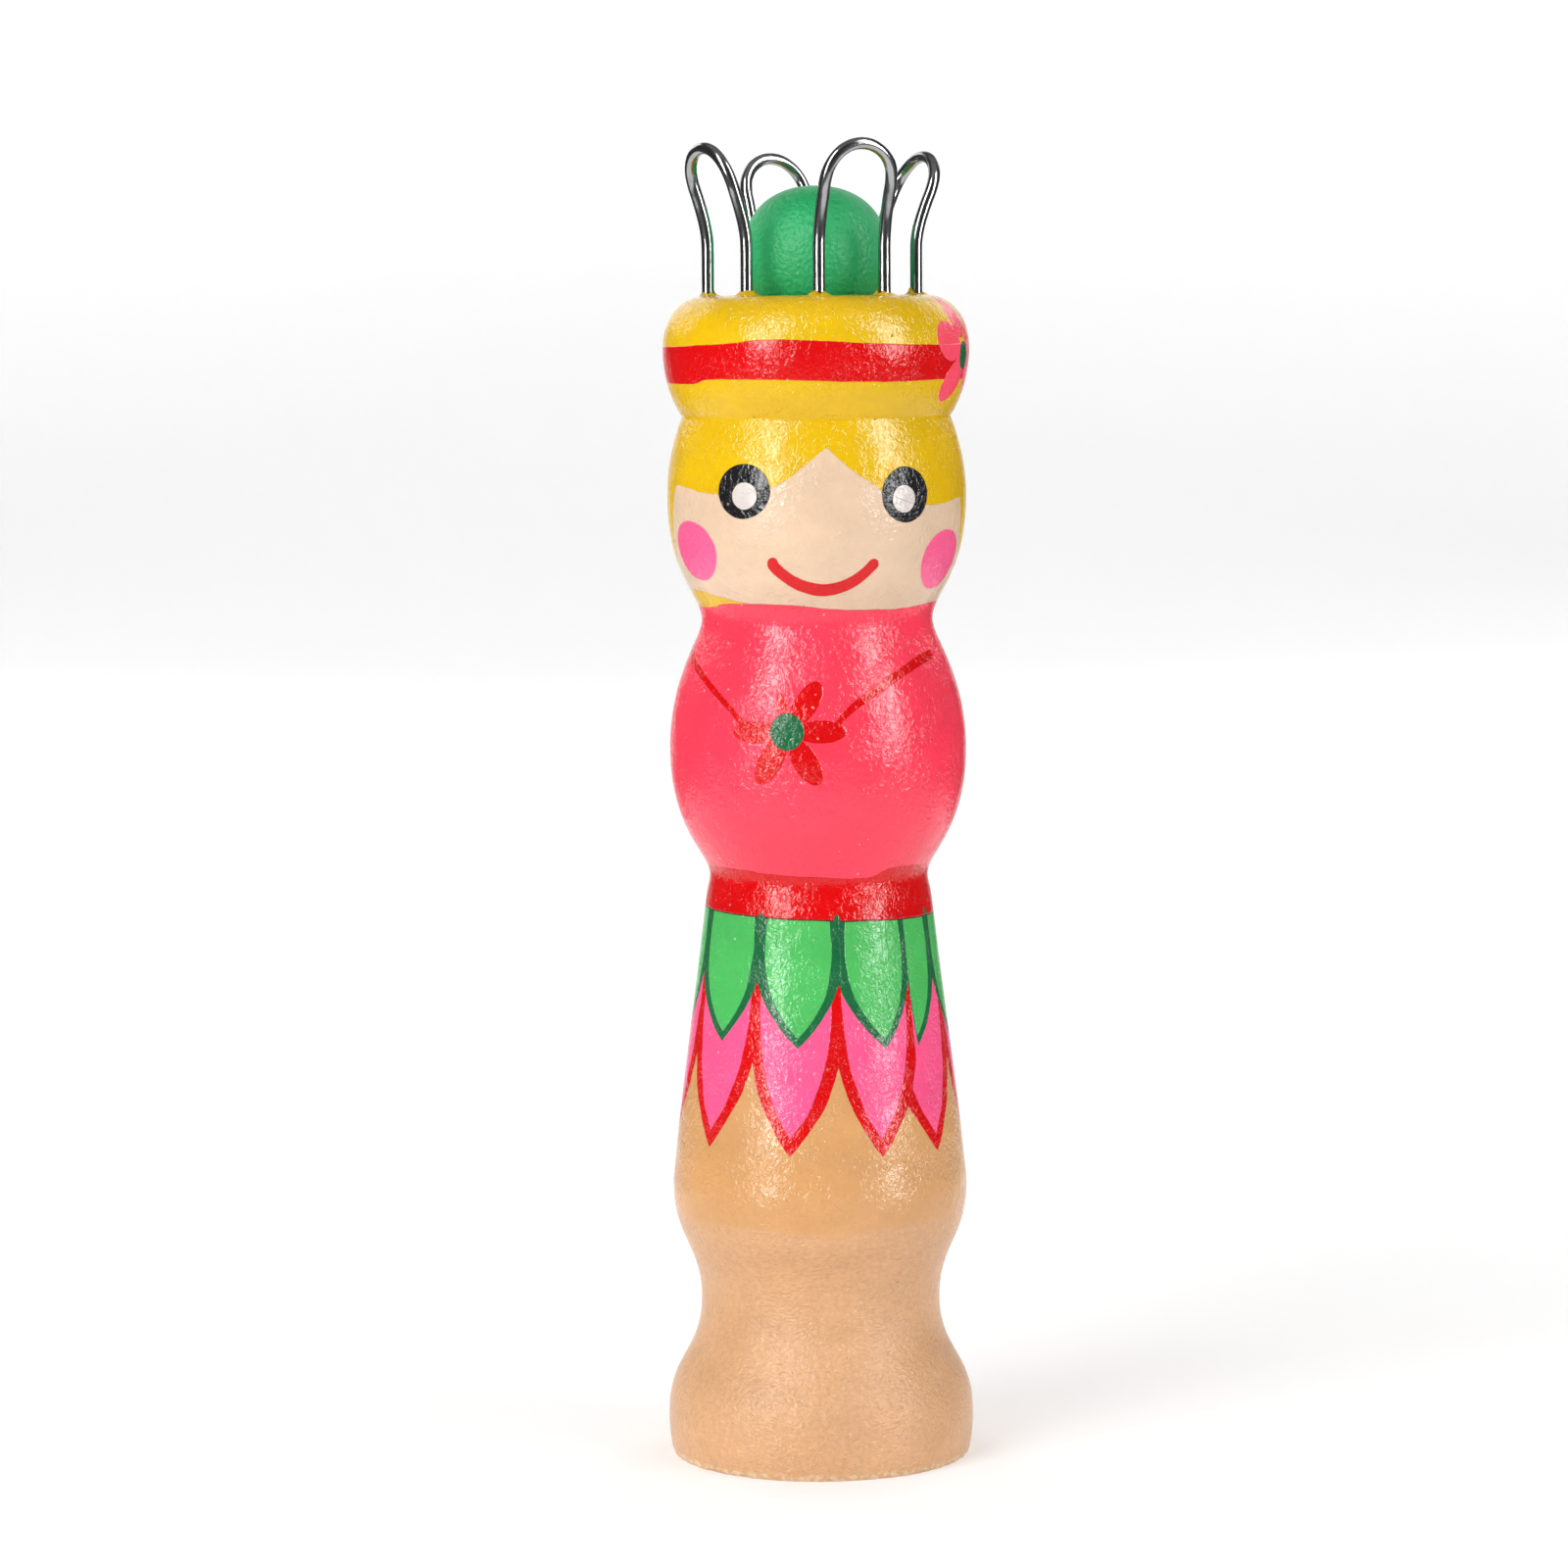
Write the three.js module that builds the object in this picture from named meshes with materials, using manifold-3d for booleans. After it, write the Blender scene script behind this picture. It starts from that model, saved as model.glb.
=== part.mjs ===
// Wooden knitting doll (a spool knitter): a turned doll with a bore down its middle, four wire hooks in
// its crown that hold the stitches, and a wooden needle with a ball head that is stored in the bore.
// Millimetres, +Z up. The origin is the centre of the bottom face, and the doll's face looks along -Y.
// Angles around the doll are in degrees from the front, positive towards +X.

import * as THREE from 'three';
import { mergeVertices } from 'three/addons/utils/BufferGeometryUtils.js';
import Module from 'manifold-3d';

// ---- Driving dimensions ----

// The body is turned from a round bar. It is this tall from the floor to its flat crown.
const bodyHeight = 96.2;
const barDiameter = 25.42;
const boreDiameter = 10;
const boreChamfer = 0.25;

// Rings of the turned outline, from the base to the hat. cut is how deep the ring is turned into the bar.
// up is its height above the floor, or down is its depth below the crown, so the skirt takes up what is
// left between them. roundBelow and roundAbove say how far the outline runs on upright on each side of
// the ring, as a share of the way to the next ring: 0 makes a sharp crease.
const rings = [
  { name: 'base', cut: 0, up: 3.3, roundBelow: 0.55, roundAbove: 0.49 },
  { name: 'ankle', cut: 2.77, up: 13.1, roundBelow: 0.51, roundAbove: 0.44 },
  { name: 'hips', cut: 0.48, up: 22.4, roundBelow: 0.44, roundAbove: 0.08 },
  { name: 'waist', cut: 3.66, down: 47.4, roundBelow: 0, roundAbove: 0.12 },
  { name: 'chest', cut: 0.45, down: 37.4, roundBelow: 0.64, roundAbove: 0.59 },
  { name: 'neck', cut: 3.17, down: 26.6, roundBelow: 0.14, roundAbove: 0.22 },
  { name: 'head', cut: 0.4, down: 16.2, roundBelow: 0.69, roundAbove: 0.54 },
  { name: 'hat groove', cut: 1.66, down: 9.85, roundBelow: 0, roundAbove: 0 },
  { name: 'hat brim', cut: 0.1, down: 4.2, roundBelow: 0.65, roundAbove: 0.55 },
];
const crownEdgeInset = 3.3;
const footEdgeInset = 0.38;
const footEdgeRise = 0.2;

// Each hook is a staple of round wire whose legs are driven into drilled holes in the crown.
const wireDiameter = 1;
const hookSpan = 5.86;
const hookDepth = 8;
const hookHoleClearance = 0.3;

// The hooks stand this far inside the middle of the wall between the bore and the hat's brim.
const hookInset = 0.64;

// Heights above the crown between which a hook bends outward.
const hookBendStart = 3.8;
const hookBendEnd = 13.2;

// at is where the hook stands around the crown, and faces is the way it looks and leans. rise is the
// height of its wire's centre line above the crown, and lean is how far that line moves outward.
const hooks = [
  { name: 'hook_front_right', at: 18.5, faces: 23, rise: 12.1, lean: 2.1 },
  { name: 'hook_back_right', at: 121, faces: 118, rise: 11.4, lean: 2.8 },
  { name: 'hook_back_left', at: 196, faces: 210, rise: 11.4, lean: 2.3 },
  { name: 'hook_front_left', at: -64, faces: -59, rise: 11.9, lean: 2.3 },
];

// The needle's ball head is wider than the bore, and rests on the bore's rim.
const ballLap = 1;
const ballHeight = 11.3;
const ballSquareness = 2.2;
const ballSeatGap = 0.15;

// The needle's shank is glued into a socket in the ball and hangs down the bore to a blunt point.
const needleLength = 89;
const shankDiameter = 5;
const socketDepth = 6;
const socketClearance = 0.3;
const pointLength = 14;
const tipDiameter = 1.6;

// ---- Fineness of the facets ----

const bodySides = 40;
const outlineSteps = 6;
const ballSides = 28;
const ballSteps = 16;
const shankSides = 20;
const wireSides = 8;
const wireSteps = 38;
const holeSides = 12;

// ---- Sizes that follow from them ----

const boreRadius = boreDiameter / 2;
const mouthRadius = boreRadius + boreChamfer;
const brimRadius = barDiameter / 2 - rings[rings.length - 1].cut;
const hookCircle = (boreRadius + brimRadius) / 2 - hookInset;
const wireRadius = wireDiameter / 2;
const holeRadius = wireRadius + hookHoleClearance;
const holeDepth = hookDepth + hookHoleClearance;
const ballRadius = boreRadius + ballLap;
const shankRadius = shankDiameter / 2;
const socketRadius = shankRadius + socketClearance;

const wasm = await Module();
wasm.setup();

// ---- Helpers ----

// Turns an outline of (radius, height) points around the Z axis.
function turned(points, sides) {
  return new THREE.LatheGeometry(points, sides).rotateX(Math.PI / 2);
}

function toSolid(geometry) {
  const bare = geometry.clone();
  bare.deleteAttribute('normal');
  bare.deleteAttribute('uv');
  const merged = mergeVertices(bare);
  return new wasm.Manifold(new wasm.Mesh({
    numProp: 3,
    vertProperties: new Float32Array(merged.attributes.position.array),
    triVerts: new Uint32Array(merged.index.array),
  }));
}

function toGeometry(solid) {
  const mesh = solid.getMesh();
  const geometry = new THREE.BufferGeometry();
  geometry.setAttribute('position', new THREE.BufferAttribute(mesh.vertProperties, 3));
  geometry.setIndex(new THREE.BufferAttribute(mesh.triVerts, 1));
  geometry.computeVertexNormals();
  return geometry;
}

// Stands an object on the crown where a hook goes: local X along its width, local -Y the way it leans.
function placeOnCrown(object, hook) {
  const around = THREE.MathUtils.degToRad(hook.at);
  object.position.set(hookCircle * Math.sin(around), -hookCircle * Math.cos(around), bodyHeight);
  object.rotation.z = THREE.MathUtils.degToRad(hook.faces);
  object.updateMatrixWorld(true);
  return object;
}

// ---- Body ----

function ringPoint(ring) {
  const height = ring.up ?? bodyHeight - ring.down;
  return new THREE.Vector2(barDiameter / 2 - ring.cut, height);
}

// The closed half outline of the body: up the outside, over the crown and down the bore.
function bodyOutline() {
  const path = new THREE.Path();
  const base = ringPoint(rings[0]);
  path.moveTo(mouthRadius, 0);
  path.lineTo(base.x - footEdgeInset, 0);
  path.bezierCurveTo(
    base.x - footEdgeInset + footEdgeRise, footEdgeRise,
    base.x, base.y * (1 - rings[0].roundBelow),
    base.x, base.y,
  );
  for (let i = 1; i < rings.length; i += 1) {
    const from = ringPoint(rings[i - 1]);
    const to = ringPoint(rings[i]);
    const climb = to.y - from.y;
    path.bezierCurveTo(
      from.x, from.y + climb * rings[i - 1].roundAbove,
      to.x, to.y - climb * rings[i].roundBelow,
      to.x, to.y,
    );
  }
  const brim = ringPoint(rings[rings.length - 1]);
  const round = rings[rings.length - 1].roundAbove;
  path.bezierCurveTo(
    brim.x, brim.y + (bodyHeight - brim.y) * round,
    brim.x - crownEdgeInset * (1 - round), bodyHeight,
    brim.x - crownEdgeInset, bodyHeight,
  );
  path.lineTo(mouthRadius, bodyHeight);
  path.lineTo(boreRadius, bodyHeight - boreChamfer);
  path.lineTo(boreRadius, boreChamfer);
  path.lineTo(mouthRadius, 0);
  return path.getPoints(outlineSteps);
}

function hookHoles() {
  const length = holeDepth + wireDiameter;
  const drill = new THREE.CylinderGeometry(holeRadius, holeRadius, length, holeSides).rotateX(Math.PI / 2);
  const holes = [];
  for (const hook of hooks) {
    const place = placeOnCrown(new THREE.Object3D(), hook);
    for (const side of [-1, 1]) {
      const hole = drill.clone().translate(side * hookSpan / 2, 0, length / 2 - holeDepth);
      holes.push(toSolid(hole.applyMatrix4(place.matrixWorld)));
    }
  }
  return holes;
}

function makeBody() {
  let solid = toSolid(turned(bodyOutline(), bodySides));
  for (const hole of hookHoles()) {
    solid = solid.subtract(hole);
  }
  return toGeometry(solid);
}

// ---- Hooks ----

// The centre line of a hook, with z = 0 at the crown: up one leg, over a round arch and down the other.
class HookLine extends THREE.Curve {
  constructor(rise, lean) {
    super();
    this.rise = rise;
    this.lean = lean;
  }

  getPoint(t, target = new THREE.Vector3()) {
    const archRadius = hookSpan / 2;
    const leg = hookDepth + this.rise - archRadius;
    const arch = Math.PI * archRadius;
    const along = t * (2 * leg + arch);
    const turn = THREE.MathUtils.clamp((along - leg) / archRadius, 0, Math.PI);
    const x = -archRadius * Math.cos(turn);
    const legLeft = Math.min(along, 2 * leg + arch - along, leg);
    const z = legLeft - hookDepth + archRadius * Math.sin(turn);
    const y = -this.lean * THREE.MathUtils.smoothstep(z, hookBendStart, hookBendEnd);
    return target.set(x, y, z);
  }
}

function makeHook(hook) {
  const corners = [];
  for (let i = 0; i < wireSides; i += 1) {
    const angle = 2 * Math.PI * i / wireSides;
    corners.push(new THREE.Vector2(wireRadius * Math.cos(angle), wireRadius * Math.sin(angle)));
  }
  const line = new HookLine(hook.rise, hook.lean);
  return new THREE.ExtrudeGeometry(new THREE.Shape(corners), { steps: wireSteps, extrudePath: line });
}

// ---- Needle ----

// Half the ball's height at a given radius: a round ball with slightly square shoulders.
function ballHalfHeight(radius) {
  const share = 1 - (radius / ballRadius) ** ballSquareness;
  return ballHeight / 2 * share ** (1 / ballSquareness);
}

// The ball rests on the upper or the lower edge of the bore's chamfer, whichever it meets first.
const seatDrop = Math.max(ballHalfHeight(mouthRadius), ballHalfHeight(boreRadius) - boreChamfer);
const ballCentre = bodyHeight + seatDrop + ballSeatGap;
const socketTop = ballCentre - ballHalfHeight(socketRadius) + socketDepth;
const shankTop = socketTop - socketClearance;
const tipHeight = ballCentre + ballHeight / 2 - needleLength;

// The ball's outline: into the socket from below, then round the outside to the top.
function ballOutline() {
  const points = [new THREE.Vector2(0, socketTop), new THREE.Vector2(socketRadius, socketTop)];
  const rim = Math.acos((socketRadius / ballRadius) ** (ballSquareness / 2));
  for (let i = 0; i < ballSteps; i += 1) {
    const angle = THREE.MathUtils.lerp(-rim, Math.PI / 2, i / ballSteps);
    const radius = ballRadius * Math.cos(angle) ** (2 / ballSquareness);
    points.push(new THREE.Vector2(radius, ballCentre + Math.sign(angle) * ballHalfHeight(radius)));
  }
  points.push(new THREE.Vector2(0, ballCentre + ballHeight / 2));
  return points;
}

// The shank's outline: round the blunt tip, up the taper and up the straight part.
function shankOutline() {
  const path = new THREE.Path();
  const tipRadius = tipDiameter / 2;
  path.moveTo(0, tipHeight);
  path.quadraticCurveTo(tipRadius, tipHeight, tipRadius, tipHeight + tipRadius);
  path.quadraticCurveTo(shankRadius, tipHeight + pointLength / 2, shankRadius, tipHeight + pointLength);
  path.lineTo(shankRadius, shankTop);
  path.lineTo(0, shankTop);
  return path.getPoints(outlineSteps);
}

// ---- Assembly ----

const paintedWood = { color: 0xd83a4a, roughness: 0.35, metalness: 0 };
const brightSteel = { color: 0xc4c5c8, roughness: 0.2, metalness: 1 };
const greenPaint = { color: 0x2f9a5c, roughness: 0.5, metalness: 0 };
const bareWood = { color: 0xdcb078, roughness: 0.7, metalness: 0 };

const model = new THREE.Group();

function addPiece(name, geometry, finish) {
  const mesh = new THREE.Mesh(geometry, new THREE.MeshStandardMaterial(finish));
  mesh.name = name;
  model.add(mesh);
  return mesh;
}

addPiece('doll_body', makeBody(), paintedWood);
for (const hook of hooks) {
  placeOnCrown(addPiece(hook.name, makeHook(hook), brightSteel), hook);
}
addPiece('needle_shank', turned(shankOutline(), shankSides), bareWood);
addPiece('needle_ball', turned(ballOutline(), ballSides), greenPaint);

export default model;
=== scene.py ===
"""Looks of a wooden knitting doll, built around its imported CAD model.

The doll is one turned piece of wood, painted by hand, with four wire hooks in its crown. Its needle is a
wooden rod with a green ball for a head, stored in the bore. Places and outlines are read from the CAD
frame. Everything is in metres, except the painting, which is laid out in millimetres of height above the
floor and in degrees around the doll: 0 in the middle of the face, positive towards +X.
"""

import math

import bmesh
import bpy
import numpy as np
from mathutils import Matrix, Vector, noise


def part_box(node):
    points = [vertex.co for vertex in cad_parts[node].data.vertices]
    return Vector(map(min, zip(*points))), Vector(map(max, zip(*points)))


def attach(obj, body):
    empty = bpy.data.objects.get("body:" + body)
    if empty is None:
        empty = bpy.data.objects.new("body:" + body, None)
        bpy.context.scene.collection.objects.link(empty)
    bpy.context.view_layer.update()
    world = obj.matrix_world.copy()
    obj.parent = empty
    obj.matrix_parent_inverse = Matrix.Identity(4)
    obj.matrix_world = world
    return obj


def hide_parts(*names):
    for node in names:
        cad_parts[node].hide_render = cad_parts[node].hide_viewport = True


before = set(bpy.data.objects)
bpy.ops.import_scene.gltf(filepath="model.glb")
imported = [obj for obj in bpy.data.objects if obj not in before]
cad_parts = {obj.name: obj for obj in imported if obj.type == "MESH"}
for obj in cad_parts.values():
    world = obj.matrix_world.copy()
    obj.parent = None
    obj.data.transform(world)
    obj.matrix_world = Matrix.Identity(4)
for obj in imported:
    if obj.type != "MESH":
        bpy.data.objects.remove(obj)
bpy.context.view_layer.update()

MM = 0.001
scene = bpy.context.scene


# ---- Camera ----

CAMERA_DISTANCE = 0.412
CAMERA_TURN = math.radians(-2.5)   # the doll's face looks a little to the right of the camera
CAMERA_PITCH = math.radians(-5.58)
CAMERA_YAW = math.radians(0.393)   # puts the doll a little right of the frame's middle
CAMERA_ROLL = math.radians(-0.34)
CAMERA_LENS = 114.75


def make_camera():
    """A camera level with the crown, looking slightly down at the doll from in front."""
    camera = bpy.data.objects.new("camera", bpy.data.cameras.new("camera"))
    camera.data.lens = CAMERA_LENS
    camera.data.sensor_width = 36
    camera.data.clip_start = 0.01
    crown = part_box("doll_body")[1].z
    camera.location = (
        CAMERA_DISTANCE * math.sin(CAMERA_TURN),
        -CAMERA_DISTANCE * math.cos(CAMERA_TURN),
        crown,
    )
    aim = Matrix.Rotation(CAMERA_TURN + CAMERA_YAW, 4, "Z")
    tip = Matrix.Rotation(math.radians(90) + CAMERA_PITCH, 4, "X")
    roll = Matrix.Rotation(CAMERA_ROLL, 4, "Z")
    camera.rotation_euler = (aim @ tip @ roll).to_euler()
    scene.collection.objects.link(camera)
    scene.camera = camera


# ---- Studio ----

FLOOR_RADIUS = 0.9
FLOOR_BEND = 0.4        # radius of the curve between the floor and the wall
WALL_HEIGHT = 1.1
FLOOR_GLOW = 0.22
WALL_EXTRA_GLOW = 0.34  # what the wall adds to it, from GLOW_RISE millimetres up
GLOW_RISE = 300.0
WORLD_LIGHT = 0.1
FLAG_RADIUS = 0.88
FLAG_NEAR = 0.2         # where its ground part begins
FLAG_SPAN = 162         # degrees to each side of the front
FLAG_HEIGHT = 0.9
FLAG_LIFT = 0.002


def make_object(name, mesh):
    piece = bpy.data.objects.new(name, mesh)
    scene.collection.objects.link(piece)
    return piece


def make_floor():
    """A pale floor that curves up into a wall all round, so that every view has a plain background."""
    outline = [(0.0, 0.0)]
    for i in range(12):
        outline.append((FLOOR_RADIUS * (i + 1) / 12, 0.0))
    for i in range(16):
        angle = math.pi / 2 * (i + 1) / 16
        outline.append((FLOOR_RADIUS + FLOOR_BEND * math.sin(angle), FLOOR_BEND * (1 - math.cos(angle))))
    outline.append((FLOOR_RADIUS + FLOOR_BEND, WALL_HEIGHT))
    floor = make_object("floor", turned_mesh("floor", outline, 96, False))
    surface = Surface("floor", (0.82, 0.82, 0.82))
    glow = surface.z.between(0.0, GLOW_RISE) * WALL_EXTRA_GLOW + FLOOR_GLOW
    surface.finish(roughness=0.9, glow=glow)
    floor.data.materials.append(surface.material)


def make_flag():
    """A dark screen round the front and sides, and dark ground before it, seen only in reflections.

    It gives the gloss and the wire their dark middles, and leaves the lamps and the near floor to shine.
    """
    outline = [(FLAG_NEAR, FLAG_LIFT), (FLAG_RADIUS, FLAG_LIFT), (FLAG_RADIUS, FLAG_HEIGHT)]
    steps, rows = 60, len(outline)
    vertices, faces = [], []
    for i in range(steps + 1):
        angle = math.radians(FLAG_SPAN * (2 * i / steps - 1))
        for radius, height in outline:
            vertices.append((radius * math.sin(angle), -radius * math.cos(angle), height))
    for i in range(steps):
        for k in range(rows - 1):
            a, b = i * rows + k, (i + 1) * rows + k
            faces.append((a, a + 1, b + 1, b))
    mesh = bpy.data.meshes.new("flag")
    mesh.from_pydata(vertices, [], faces)
    flag = make_object("flag", mesh)
    flag.visible_camera = False
    flag.visible_diffuse = False
    flag.visible_shadow = False
    surface = Surface("flag", (0.03, 0.03, 0.03))
    surface.finish(roughness=0.95)
    mesh.materials.append(surface.material)


def softbox(name, azimuth, elevation, distance, width, height, power, lights=True, shines=True):
    """A soft rectangular lamp aimed at the doll's middle. Azimuth 0 is the camera's side.

    lights: it lights the surfaces. shines: it shows in their gloss.
    """
    light = bpy.data.lights.new(name, "AREA")
    light.shape = "RECTANGLE"
    light.size = width
    light.size_y = height
    light.energy = power
    lamp = bpy.data.objects.new(name, light)
    around, up = math.radians(azimuth), math.radians(elevation)
    offset = Vector((math.sin(around) * math.cos(up), -math.cos(around) * math.cos(up), math.sin(up)))
    target = Vector((0, 0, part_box("doll_body")[1].z / 2))
    lamp.location = target + distance * offset
    lamp.rotation_euler = offset.to_track_quat("Z", "Y").to_euler()
    lamp.visible_camera = False
    lamp.visible_diffuse = lights
    lamp.visible_glossy = shines
    scene.collection.objects.link(lamp)


def make_lights():
    """Azimuth and elevation in degrees, distance, width and height in metres, then watts."""
    softbox("key_left", -46, 26, 0.7, 0.4, 0.7, 3.2, shines=False)
    softbox("fill_right", 60, 26, 0.7, 0.4, 0.7, 1.1, shines=False)
    softbox("gloss_left", -43, 24, 0.7, 0.17, 0.8, 6.0, lights=False)
    softbox("gloss_right", 58, 24, 0.7, 0.19, 0.8, 5.6, lights=False)
    softbox("overhead", 0, 88, 1.0, 1.1, 1.1, 0.6)
    softbox("back_left", -145, 20, 0.9, 0.4, 0.6, 1.3)
    softbox("back_right", 145, 20, 0.9, 0.4, 0.6, 1.4)
    world = bpy.data.worlds.new("studio")
    world.use_nodes = True
    background = world.node_tree.nodes["Background"]
    background.inputs["Color"].default_value = (1, 1, 1, 1)
    background.inputs["Strength"].default_value = WORLD_LIGHT
    scene.world = world
    scene.view_settings.view_transform = "Standard"


# ---- Fields: numbers that vary over a surface ----

class Field:
    """A shader node's output, with arithmetic that adds Math nodes to the same tree."""

    def __init__(self, tree, socket):
        self.tree = tree
        self.socket = socket

    def math(self, operation, *others, swap=False, clamp=False):
        node = self.tree.nodes.new("ShaderNodeMath")
        node.operation = operation
        node.use_clamp = clamp
        terms = (self,) + others
        if swap:
            terms = terms[::-1]
        for slot, term in zip(node.inputs, terms):
            if isinstance(term, Field):
                self.tree.links.new(term.socket, slot)
            else:
                slot.default_value = term
        return Field(self.tree, node.outputs[0])

    def __add__(self, other):
        return self.math("ADD", other)

    def __radd__(self, other):
        return self.math("ADD", other)

    def __sub__(self, other):
        return self.math("SUBTRACT", other)

    def __rsub__(self, other):
        return self.math("SUBTRACT", other, swap=True)

    def __mul__(self, other):
        return self.math("MULTIPLY", other)

    def __rmul__(self, other):
        return self.math("MULTIPLY", other)

    def __truediv__(self, other):
        return self.math("DIVIDE", other)

    def __neg__(self):
        return self.math("MULTIPLY", -1.0)

    def __abs__(self):
        return self.math("ABSOLUTE")

    def least(self, other):
        return self.math("MINIMUM", other)

    def most(self, other):
        return self.math("MAXIMUM", other)

    def clamped(self):
        return self.math("ADD", 0.0, clamp=True)

    def between(self, low, high):
        """0 at low and below, 1 at high and above, smooth between them."""
        node = self.tree.nodes.new("ShaderNodeMapRange")
        node.interpolation_type = "SMOOTHSTEP"
        self.tree.links.new(self.socket, node.inputs["Value"])
        node.inputs["From Min"].default_value = low
        node.inputs["From Max"].default_value = high
        return Field(self.tree, node.outputs[0])


class Surface:
    """A material under way: its node tree, the place on the piece in millimetres and its colour so far."""

    def __init__(self, name, colour=None):
        self.material = bpy.data.materials.new(name)
        self.material.use_nodes = True
        self.tree = self.material.node_tree
        self.shader = self.tree.nodes["Principled BSDF"]
        self.colour = colour
        coordinates = self.tree.nodes.new("ShaderNodeTexCoord")
        scale = self.tree.nodes.new("ShaderNodeVectorMath")
        scale.operation = "SCALE"
        scale.inputs["Scale"].default_value = 1 / MM
        self.tree.links.new(coordinates.outputs["Object"], scale.inputs[0])
        self.place = scale.outputs[0]
        split = self.tree.nodes.new("ShaderNodeSeparateXYZ")
        self.tree.links.new(self.place, split.inputs[0])
        self.x, self.y, self.z = (Field(self.tree, out) for out in split.outputs)

    def plug(self, value, socket):
        """Sets a socket to a Field, a colour or a number."""
        if isinstance(value, Field):
            self.tree.links.new(value.socket, socket)
        elif isinstance(value, tuple):
            socket.default_value = (*value, 1.0)
        else:
            socket.default_value = value

    def stretched(self, stretch, offset):
        node = self.tree.nodes.new("ShaderNodeVectorMath")
        node.operation = "MULTIPLY_ADD"
        self.tree.links.new(self.place, node.inputs[0])
        node.inputs[1].default_value = stretch
        node.inputs[2].default_value = (offset, offset * 1.7, offset * 2.3)
        return node.outputs[0]

    def noise(self, scale, detail=2, stretch=(1, 1, 1), offset=0.0, roughness=0.5, distortion=0.0):
        """Smooth noise from about -0.5 to 0.5, with scale features to the millimetre."""
        node = self.tree.nodes.new("ShaderNodeTexNoise")
        self.tree.links.new(self.stretched(stretch, offset), node.inputs["Vector"])
        node.inputs["Scale"].default_value = scale
        node.inputs["Detail"].default_value = detail
        node.inputs["Roughness"].default_value = roughness
        node.inputs["Distortion"].default_value = distortion
        return Field(self.tree, node.outputs["Fac"]) - 0.5

    def specks(self, scale, share, radius, stretch=(1, 1, 1), offset=0.0):
        """1 in small round spots and 0 between them. share is how many of the cells hold a spot."""
        cells = self.tree.nodes.new("ShaderNodeTexVoronoi")
        self.tree.links.new(self.stretched(stretch, offset), cells.inputs["Vector"])
        cells.inputs["Scale"].default_value = scale
        chance = self.tree.nodes.new("ShaderNodeSeparateColor")
        self.tree.links.new(cells.outputs["Color"], chance.inputs[0])
        chosen = Field(self.tree, chance.outputs[0]).math("LESS_THAN", share)
        size = Field(self.tree, chance.outputs[1]) * radius * scale + radius * scale * 0.4
        distance = Field(self.tree, cells.outputs["Distance"])
        return (1.0 - distance / size).clamped() * chosen

    def curve(self, field, points, corners=()):
        """A value that follows given (position, value) points, with sharp corners at some of them."""
        low_x, high_x = points[0][0], points[-1][0]
        values = [value for _, value in points]
        low, span = min(values), max(values) - min(values)
        node = self.tree.nodes.new("ShaderNodeFloatCurve")
        line = node.mapping.curves[0]
        while len(line.points) < len(points):
            line.points.new(0.5, 0.5)
        for point, (position, value) in zip(line.points, points):
            point.location = ((position - low_x) / (high_x - low_x), (value - low) / span)
            point.handle_type = "VECTOR" if position in corners else "AUTO_CLAMPED"
        node.mapping.update()
        self.tree.links.new(((field - low_x) / (high_x - low_x)).socket, node.inputs["Value"])
        return Field(self.tree, node.outputs[0]) * span + low

    def mixed(self, share, low, high):
        """A colour that goes from low to high as share goes from 0 to 1."""
        node = self.tree.nodes.new("ShaderNodeMix")
        node.data_type = "RGBA"
        self.plug(share, node.inputs[0])
        self.plug(low, node.inputs[6])
        self.plug(high, node.inputs[7])
        return Field(self.tree, node.outputs[2])

    def lay(self, share, colour):
        """Paints colour over what is there, where share is 1."""
        self.colour = self.mixed(share, self.colour, colour)

    def tint(self, amount):
        """Multiplies the colour so far by 1 + amount."""
        node = self.tree.nodes.new("ShaderNodeVectorMath")
        node.operation = "SCALE"
        self.tree.links.new(self.colour.socket, node.inputs[0])
        self.plug(1.0 + amount, node.inputs["Scale"])
        self.colour = Field(self.tree, node.outputs[0])

    def finish(self, roughness=0.5, metallic=0.0, shine=0.5, relief=None, glow=0.0):
        """Connects everything to the shader. Constant values go straight on its sockets."""
        sockets = self.shader.inputs
        self.plug(self.colour, sockets["Base Color"])
        self.plug(roughness, sockets["Roughness"])
        sockets["Metallic"].default_value = metallic
        sockets["Specular IOR Level"].default_value = shine
        sockets["Emission Color"].default_value = (1, 1, 1, 1)
        self.plug(glow, sockets["Emission Strength"])
        if relief is not None:
            bump = self.tree.nodes.new("ShaderNodeBump")
            bump.inputs["Strength"].default_value = 1.0
            bump.inputs["Distance"].default_value = MM
            self.tree.links.new(relief.socket, bump.inputs["Height"])
            self.tree.links.new(bump.outputs[0], sockets["Normal"])


# ---- Shapes read from the CAD frame ----

def turned_rings(node, least=12, same=0.04 * MM):
    """(radius, height) of each ring of vertices in a turned CAD node, lowest first."""
    found = {}
    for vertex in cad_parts[node].data.vertices:
        x, y, z = vertex.co
        place = (round(math.hypot(x, y), 5), round(z, 5))
        found.setdefault(place, set()).add(round(math.atan2(y, x), 2))
    rings = []
    whole = [place for place in found if len(found[place]) >= least]
    for ring in sorted(whole, key=lambda place: (place[1], place[0])):
        if all(math.dist(ring, other) > same for other in rings):
            rings.append(ring)
    return rings


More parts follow.
